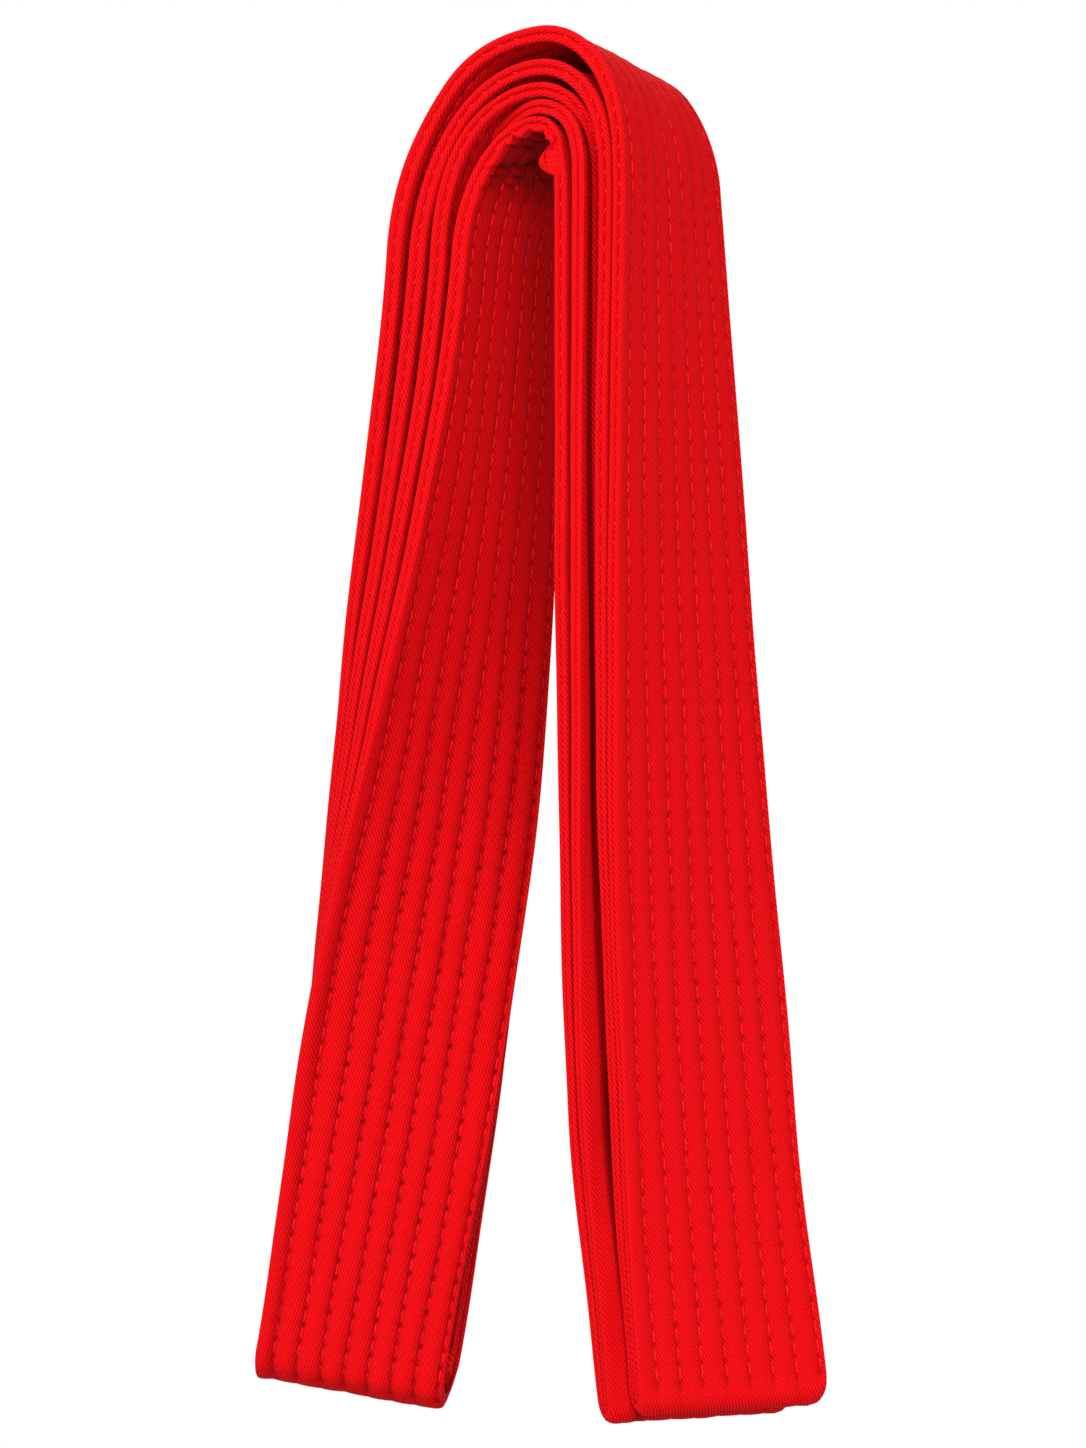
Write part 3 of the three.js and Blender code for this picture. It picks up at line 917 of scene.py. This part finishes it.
def make_end_thread(settings, piece, at_start, material):
    """Stitches across the strip that close a free end."""
    strip = settings.strip
    surface = Surface(settings, piece)
    pitch = strip.stitch_pitch
    across = np.arange(strip.first_row, strip.width - strip.first_row, pitch)
    station = (1.1 if at_start else piece.stitches - 1.1) * STEPS_PER_STITCH
    deep = surface.at(station, piece.depth)
    found = []
    for depth, sign in ((0.12 * MM, -1), (strip.thickness - 0.12 * MM, 1)):
        pair = [
            surface.point(np.full(len(across), station), across + at * pitch, np.full(len(across), depth))
            for at in STITCH_ENDS
        ]
        found.append((*pair, np.repeat(sign * deep[None], len(across), 0)))
    *ends, ups = (np.concatenate(v) for v in zip(*found))
    return make_stitches("end", settings, piece, ends, ups, material)


# ---- materials


class Wiring:
    """Short ways to add and join nodes."""

    def __init__(self, tree):
        self.tree = tree

    def node(self, kind):
        return self.tree.nodes.new(f"ShaderNode{kind}")

    def feed(self, socket, value):
        if isinstance(value, bpy.types.NodeSocket):
            self.tree.links.new(value, socket)
        else:
            socket.default_value = value

    def fed(self, kind, *values):
        """A node with its first inputs fed."""
        node = self.node(kind)
        for socket, value in zip(node.inputs, values):
            self.feed(socket, value)
        return node

    def math(self, operation, *values):
        node = self.fed("Math", *values)
        node.operation = operation
        return node.outputs[0]

    def add(self, a, b):
        return self.math("ADD", a, b)

    def take(self, a, b):
        return self.math("SUBTRACT", a, b)

    def times(self, a, b):
        return self.math("MULTIPLY", a, b)

    def over(self, a, b):
        return self.math("DIVIDE", a, b)

    def scaled(self, value, scale, start):
        return self.math("MULTIPLY_ADD", value, scale, start)

    def wave(self, turns):
        """A cosine between 0 and 1."""
        return self.scaled(self.math("COSINE", self.times(turns, 2 * np.pi)), 0.5, 0.5)

    def named(self, kind, **values):
        """A node with inputs fed by their names."""
        node = self.node(kind)
        for label, value in values.items():
            self.feed(node.inputs[label], value)
        return node

    def noise(self, vector, scale, detail=2.0, roughness=0.5):
        node = self.named("TexNoise", Vector=vector, Scale=scale, Detail=detail, Roughness=roughness)
        return node.outputs["Fac"]

    def ramp(self, value, low, high, to_low=0.0, to_high=1.0):
        return self.fed("MapRange", value, low, high, to_low, to_high).outputs[0]

    def blend(self, factor, a, b):
        node = self.node("Mix")
        node.data_type = "RGBA"
        for socket, value in zip((node.inputs[0], node.inputs[6], node.inputs[7]), (factor, a, b)):
            self.feed(socket, value)
        return node.outputs[2]

    def placed(self, name, **values):
        node = self.node("Group")
        node.node_tree = bpy.data.node_groups[name]
        for label, value in values.items():
            self.feed(node.inputs[label.replace("_", " ")], value)
        return node.outputs

    def apart(self, vector):
        return self.fed("SeparateXYZ", vector).outputs

    def joined(self, x, y):
        return self.fed("CombineXYZ", x, y).outputs[0]

    def uv_map(self, name):
        node = self.node("UVMap")
        node.uv_map = name
        return node.outputs[0]

    def mask(self, name):
        node = self.node("Attribute")
        node.attribute_name = name
        return node.outputs["Fac"]

    def object_place(self):
        return self.node("TexCoord").outputs["Object"]

    def camera_ray(self):
        return self.node("LightPath").outputs["Is Camera Ray"]


def group(name, vector, inputs, outputs):
    """An empty shader group: its one vector input, its other inputs with their defaults, and its outputs."""
    made = bpy.data.node_groups.new(name, "ShaderNodeTree")

    def socket(label, way, kind="Float"):
        return made.interface.new_socket(label, in_out=way, socket_type=f"NodeSocket{kind}")

    socket(vector, "INPUT", "Vector")
    for label, default in inputs.items():
        socket(label, "INPUT").default_value = default
    for label in outputs:
        socket(label, "OUTPUT")
    given, out = made.nodes.new("NodeGroupInput"), made.nodes.new("NodeGroupOutput")
    return Wiring(made), given.outputs, out.inputs


def twill_group(name):
    """Slanting ribs, each broken into the floats of its yarns, with shade painted where they lie low."""
    inputs = {"Rib Pitch": 0.0005, "Rib Slope": 1.9, "Yarn Pitch": 0.00042, "Uneven": 0.3}
    w, given, out = group(name, "Cloth", inputs, ("Height", "Tone"))
    x, y, _ = w.apart(given["Cloth"])
    slope = given["Rib Slope"]
    steep = w.math("SQRT", w.scaled(slope, slope, 1.0))
    over = w.over(w.take(w.times(x, slope), y), steep)
    down = w.over(w.add(w.times(y, slope), x), steep)
    stray = w.times(w.take(w.noise(w.joined(x, y), 420.0), 0.5), given["Uneven"])
    turns = w.add(w.over(over, given["Rib Pitch"]), stray)
    beads = w.wave(w.add(w.over(down, given["Yarn Pitch"]), w.times(turns, 0.5)))
    height = w.times(w.math("POWER", w.wave(turns), 0.7), w.scaled(beads, 0.3, 0.7))
    w.feed(out["Height"], height)
    # Painted shade between the ribs and floats: the tone falls to 0.15 where the weave is lowest.
    w.feed(out["Tone"], w.scaled(height, 0.85, 0.15))


def fibre_group(name):
    """Uneven dye and fine fuzz."""
    inputs = {"Fuzz Scale": 5200.0, "Patch Scale": 55.0, "Unevenness": 0.08}
    w, given, out = group(name, "Place", inputs, ("Fuzz", "Tone"))
    place, scale = given["Place"], given["Patch Scale"]
    patches = w.noise(place, scale, 3.0, 0.55)
    streaks = w.noise(place, w.times(scale, 14.0))
    mixed = w.add(w.times(patches, 0.6), w.times(streaks, 0.4))
    w.feed(out["Fuzz"], w.noise(place, given["Fuzz Scale"], 3.0, 0.65))
    w.feed(out["Tone"], w.scaled(w.take(mixed, 0.5), given["Unevenness"], 1.0))


def needle_group(name):
    """Painted shade in the needle holes along each row, and a painted shadow along the line of the row
    itself.
    """
    inputs = {"Sewn": 1.0, "Hole Width": 0.18, "Hole Length": 0.36, "Slant": 0.22}
    w, given, out = group(name, "Stitches", inputs, ("Hole", "Row"))
    x, y, _ = w.apart(given["Stitches"])
    row, hole = (w.take(v, w.math("ROUND", v)) for v in (x, y))
    across = w.over(w.scaled(hole, given["Slant"], row), given["Hole Width"])
    along = w.over(hole, given["Hole Length"])
    away = w.add(w.times(across, across), w.times(along, along))
    each = w.noise(w.joined(w.math("ROUND", x), w.math("ROUND", y)), 3.7, 0.0)
    depth = w.times(w.ramp(each, 0.3, 0.65, 0.4, 1.0), given["Sewn"])
    # Painted shade in each needle hole, deeper in some holes than in others.
    w.feed(out["Hole"], w.times(w.ramp(away, 1.0, 0.0), depth))
    # Painted shadow along each row: a narrow dark line and a broad soft fall towards the row.
    off = w.math("ABSOLUTE", row)
    line = w.add(w.ramp(off, 0.17, 0.0, 0.0, 0.55), w.ramp(off, 0.48, 0.05, 0.0, 0.45))
    w.feed(out["Row"], w.times(line, given["Sewn"]))


SHADER_GROUPS = {"Twill Weave": twill_group, "Cotton Fibre": fibre_group, "Needle Holes": needle_group}


def darker(colour, part):
    """A share of a colour's light, with its alpha."""
    return (*(part * c for c in colour), 1)


def fresh_material(name, colour, roughness):
    """A Principled material with its shader and its wiring."""
    made = bpy.data.materials.new(name)
    made.use_nodes = True
    made.diffuse_color = (*colour, 1)
    shader = made.node_tree.nodes["Principled BSDF"].inputs
    shader["Base Color"].default_value = (*colour, 1)
    shader["Roughness"].default_value = roughness
    shader["Specular IOR Level"].default_value = 0.06
    return made, shader, Wiring(made.node_tree)


def bumped(w, shader, height, distance):
    node = w.named("Bump", Strength=1.0, Distance=distance, Height=height)
    w.feed(shader["Normal"], node.outputs[0])


def cover_material(finish):
    """Red cotton twill, with shade painted between its ribs, in its rows and needle holes, under the arch and
    in creases.
    """
    name = "red_twill_cover"
    if name in bpy.data.materials:
        return bpy.data.materials[name]
    red = finish.cover
    made, shader, w = fresh_material(name, red, 0.85)
    sizes = {"Rib_Pitch": finish.rib_pitch, "Rib_Slope": finish.rib_slope, "Yarn_Pitch": finish.yarn_pitch}
    weave = w.placed("Twill Weave", Cloth=w.uv_map("cloth"), **sizes)
    fibre = w.placed("Cotton Fibre", Place=w.object_place())
    needle = w.placed("Needle Holes", Stitches=w.uv_map("stitches"), Sewn=w.mask("sewn"))
    # Painted shade between the twill's ribs, times the fibre's uneven dye.
    dye_and_rib_shade = w.math("MINIMUM", w.times(weave["Tone"], fibre["Tone"]), 1.0)
    colour = w.blend(dye_and_rib_shade, darker(red, 0.34), (*red, 1))
    # Painted shade in the needle holes and along the rows.
    shade = w.math("MAXIMUM", w.times(needle["Hole"], 0.8), w.times(needle["Row"], 0.5))
    colour = w.blend(shade, colour, darker(red, 0.25))
    # Painted shade under the arch and in the creases, down to 7% of the red.
    colour = w.blend(w.times(w.mask("creased"), 0.9), colour, darker(red, 0.07))
    w.feed(shader["Base Color"], colour)
    w.feed(shader["Roughness"], w.ramp(fibre["Fuzz"], 0.3, 0.7, 0.78, 0.95))
    height = w.scaled(fibre["Fuzz"], 0.35, weave["Height"])
    bumped(w, shader, w.take(height, needle["Hole"]), 0.00016)
    return made


def thread_material(finish):
    """Red sewing thread, twisted."""
    name = "red_sewing_thread"
    if name in bpy.data.materials:
        return bpy.data.materials[name]
    made, shader, w = fresh_material(name, finish.thread, 0.6)
    uneven = {"Fuzz_Scale": 9000.0, "Patch_Scale": 160.0, "Unevenness": 0.25}
    fibre = w.placed("Cotton Fibre", Place=w.object_place(), **uneven)
    colour = w.blend(w.ramp(fibre["Tone"], 0.85, 1.05), darker(finish.thread, 0.6), (*finish.thread, 1))
    w.feed(shader["Base Color"], colour)
    w.feed(shader["Roughness"], w.ramp(fibre["Fuzz"], 0.3, 0.7, 0.55, 0.75))
    bumped(w, shader, fibre["Fuzz"], 0.00005)
    return made


def floor_material():
    """Matt pale paint with a faint grain, which shows white and gives little light back."""
    made, shader, w = fresh_material("pale_floor", (0.4, 0.4, 0.4), 0.9)
    grain = w.ramp(w.noise(w.object_place(), 40.0, 3.0), 0.3, 0.7)
    w.feed(shader["Base Color"], w.blend(grain, (0.38, 0.38, 0.38, 1), (0.42, 0.42, 0.42, 1)))
    glow = w.named("Emission", Strength=1.0).outputs[0]
    both = w.fed("MixShader", w.camera_ray(), w.tree.nodes["Principled BSDF"].outputs[0], glow)
    w.feed(w.tree.nodes["Material Output"].inputs["Surface"], both.outputs[0])
    return made


# ---- operators


class BELT_OT_shader_groups(bpy.types.Operator):
    """Make the shared shader groups: twill weave, cotton fibre and needle holes"""

    bl_idname = "belt.shader_groups"
    bl_label = "Shader Groups"

    def execute(self, context):
        for name, maker in SHADER_GROUPS.items():
            if name not in bpy.data.node_groups:
                maker(name)
        return {"FINISHED"}


class BELT_OT_strip(bpy.types.Operator):
    """Build the quilted strip, in the lengths between the crown and each fold"""

    bl_idname = "belt.strip"
    bl_label = "Quilted Strip"

    def execute(self, context):
        settings = context.scene.belt
        for piece in built_lengths(settings):
            make_strip(settings, piece, cover_material(settings.finish))
        return {"FINISHED"}


class BELT_OT_row_threads(bpy.types.Operator):
    """Sew the lengthwise rows: needle thread on the front face and bobbin thread on the back"""

    bl_idname = "belt.row_threads"
    bl_label = "Row Threads"

    def execute(self, context):
        settings = context.scene.belt
        for piece in built_lengths(settings):
            for face in ("needle", "bobbin"):
                make_row_threads(settings, piece, face, thread_material(settings.finish))
        return {"FINISHED"}


class BELT_OT_seam_threads(bpy.types.Operator):
    """Sew the seam where the cover's two edges meet"""

    bl_idname = "belt.seam_threads"
    bl_label = "Seam Threads"

    def execute(self, context):
        settings = context.scene.belt
        for piece in built_lengths(settings):
            make_seam_thread(settings, piece, thread_material(settings.finish))
        return {"FINISHED"}


class BELT_OT_end_threads(bpy.types.Operator):
    """Sew the strip's two free ends shut"""

    bl_idname = "belt.end_threads"
    bl_label = "End Threads"

    def execute(self, context):
        settings = context.scene.belt
        lengths = built_lengths(settings)
        make_end_thread(settings, lengths[0], True, thread_material(settings.finish))
        make_end_thread(settings, lengths[-1], False, thread_material(settings.finish))
        return {"FINISHED"}


class BELT_OT_stage(bpy.types.Operator):
    """Set the pale floor, the soft lights and the camera"""

    bl_idname = "belt.stage"
    bl_label = "Stage"

    def execute(self, context):
        stage = context.scene.belt.stage
        make_floor(stage)
        make_lights(stage)
        make_camera(stage)
        return {"FINISHED"}


def make_floor(stage):
    """A round floor that rises to a low rim, so that it has no edge in view."""
    steps = np.linspace(0, 1, 25)[1:, None]
    around = np.linspace(0, 2 * np.pi, 97)[None, :-1]
    radius = stage.floor_radius * steps
    height = 0.25 * stage.floor_radius * ease(steps, 0.72, 1.0) - stage.floor_drop
    spots = np.broadcast_arrays(radius * np.cos(around), radius * np.sin(around), height)
    floor = grid_mesh("floor", np.stack(spots, -1), floor_material(), caps=((0, True),))


def area_light(name, place, target, size, power):
    data = bpy.data.lights.new(name, "AREA")
    data.shape, data.size, data.energy = "DISK", size, power
    lamp = in_scene(name, data)
    lamp.location = place
    lamp.rotation_euler = (Vector(target) - Vector(place)).to_track_quat("-Z", "Y").to_euler()


def viewed_from(stage):
    """The directions to the camera's right and back from the belt to the camera."""
    angle = stage.azimuth
    return Vector((np.cos(angle), np.sin(angle), 0)), Vector((np.sin(angle), -np.cos(angle), 0))


# Each light: how far right, back towards the camera and up from the belt it stands, its size and its power.
LIGHTS = {
    "key_light": ((-1.35, 1.0, 1.05), 1.0, 46),
    "front_light": ((0.15, 1.7, 0.3), 1.1, 33),
    "side_light": ((1.5, 0.7, 0.4), 1.0, 5),
    "back_light": ((0.0, -1.6, 0.9), 1.2, 14),
    "top_light": ((0.0, 0.2, 1.7), 1.6, 8),
}


def make_lights(stage):
    right, back = viewed_from(stage)
    up = Vector((0, 0, 1))
    target = up * stage.aim_height
    for name, ((beside, before, above), size, power) in LIGHTS.items():
        area_light(name, target + right * beside + back * before + up * above, target, size, power)
    world = bpy.data.worlds.new("soft_white")
    world.use_nodes = True
    w = Wiring(world.node_tree)
    background = world.node_tree.nodes["Background"].inputs
    background["Color"].default_value = (1, 1, 1, 1)
    _, _, height = w.apart(w.node("TexCoord").outputs["Generated"])
    soft = w.ramp(height, -0.3, 0.6, 0.2, 0.6)
    w.feed(background["Strength"], w.ramp(w.camera_ray(), 0.0, 1.0, soft, 1.0))
    bpy.context.scene.world = world


def make_camera(stage):
    right, back = viewed_from(stage)
    data = bpy.data.cameras.new("camera")
    data.lens = stage.lens
    camera = in_scene("camera", data)
    camera.location = right * stage.aim_side + back * stage.distance + Vector((0, 0, stage.aim_height))
    camera.rotation_euler = (-back).to_track_quat("-Z", "Y").to_euler()
    bpy.context.scene.camera = camera
    bpy.context.scene.view_settings.view_transform = "Standard"


class BELT_PT_panel(bpy.types.Panel):
    """Lists the belt's sizes and the operators that build it"""

    bl_idname = "BELT_PT_panel"
    bl_label = "Martial Arts Belt"
    bl_space_type = "VIEW_3D"
    bl_region_type = "UI"
    bl_category = "Belt"

    def draw(self, context):
        settings = context.scene.belt
        for title in ("strip", "left", "right", "fold", "finish", "stage"):
            box = self.layout.box()
            box.label(text=title.capitalize())
            values = getattr(settings, title)
            for field in values.bl_rna.properties:
                if field.identifier not in ("rna_type", "name"):
                    box.prop(values, field.identifier)
        for operator in OPERATORS:
            self.layout.operator(operator.bl_idname)


SETTINGS = (
    BeltStripSettings, BeltLeftLegSettings, BeltRightLegSettings, BeltFoldSettings, BeltFinishSettings,
    BeltStageSettings, BeltSettings,
)
OPERATORS = (
    BELT_OT_shader_groups, BELT_OT_strip, BELT_OT_row_threads, BELT_OT_seam_threads, BELT_OT_end_threads,
    BELT_OT_stage,
)


def register():
    for made in (*SETTINGS, *OPERATORS, BELT_PT_panel):
        bpy.utils.register_class(made)
    bpy.types.Scene.belt = PointerProperty(type=BeltSettings)


def unregister():
    del bpy.types.Scene.belt
    for made in reversed((*SETTINGS, *OPERATORS, BELT_PT_panel)):
        bpy.utils.unregister_class(made)


def main():
    register()
    bpy.ops.belt.shader_groups()
    bpy.ops.belt.strip()
    bpy.ops.belt.row_threads()
    bpy.ops.belt.seam_threads()
    bpy.ops.belt.end_threads()
    bpy.ops.belt.stage()


if __name__ == "__main__":
    main()
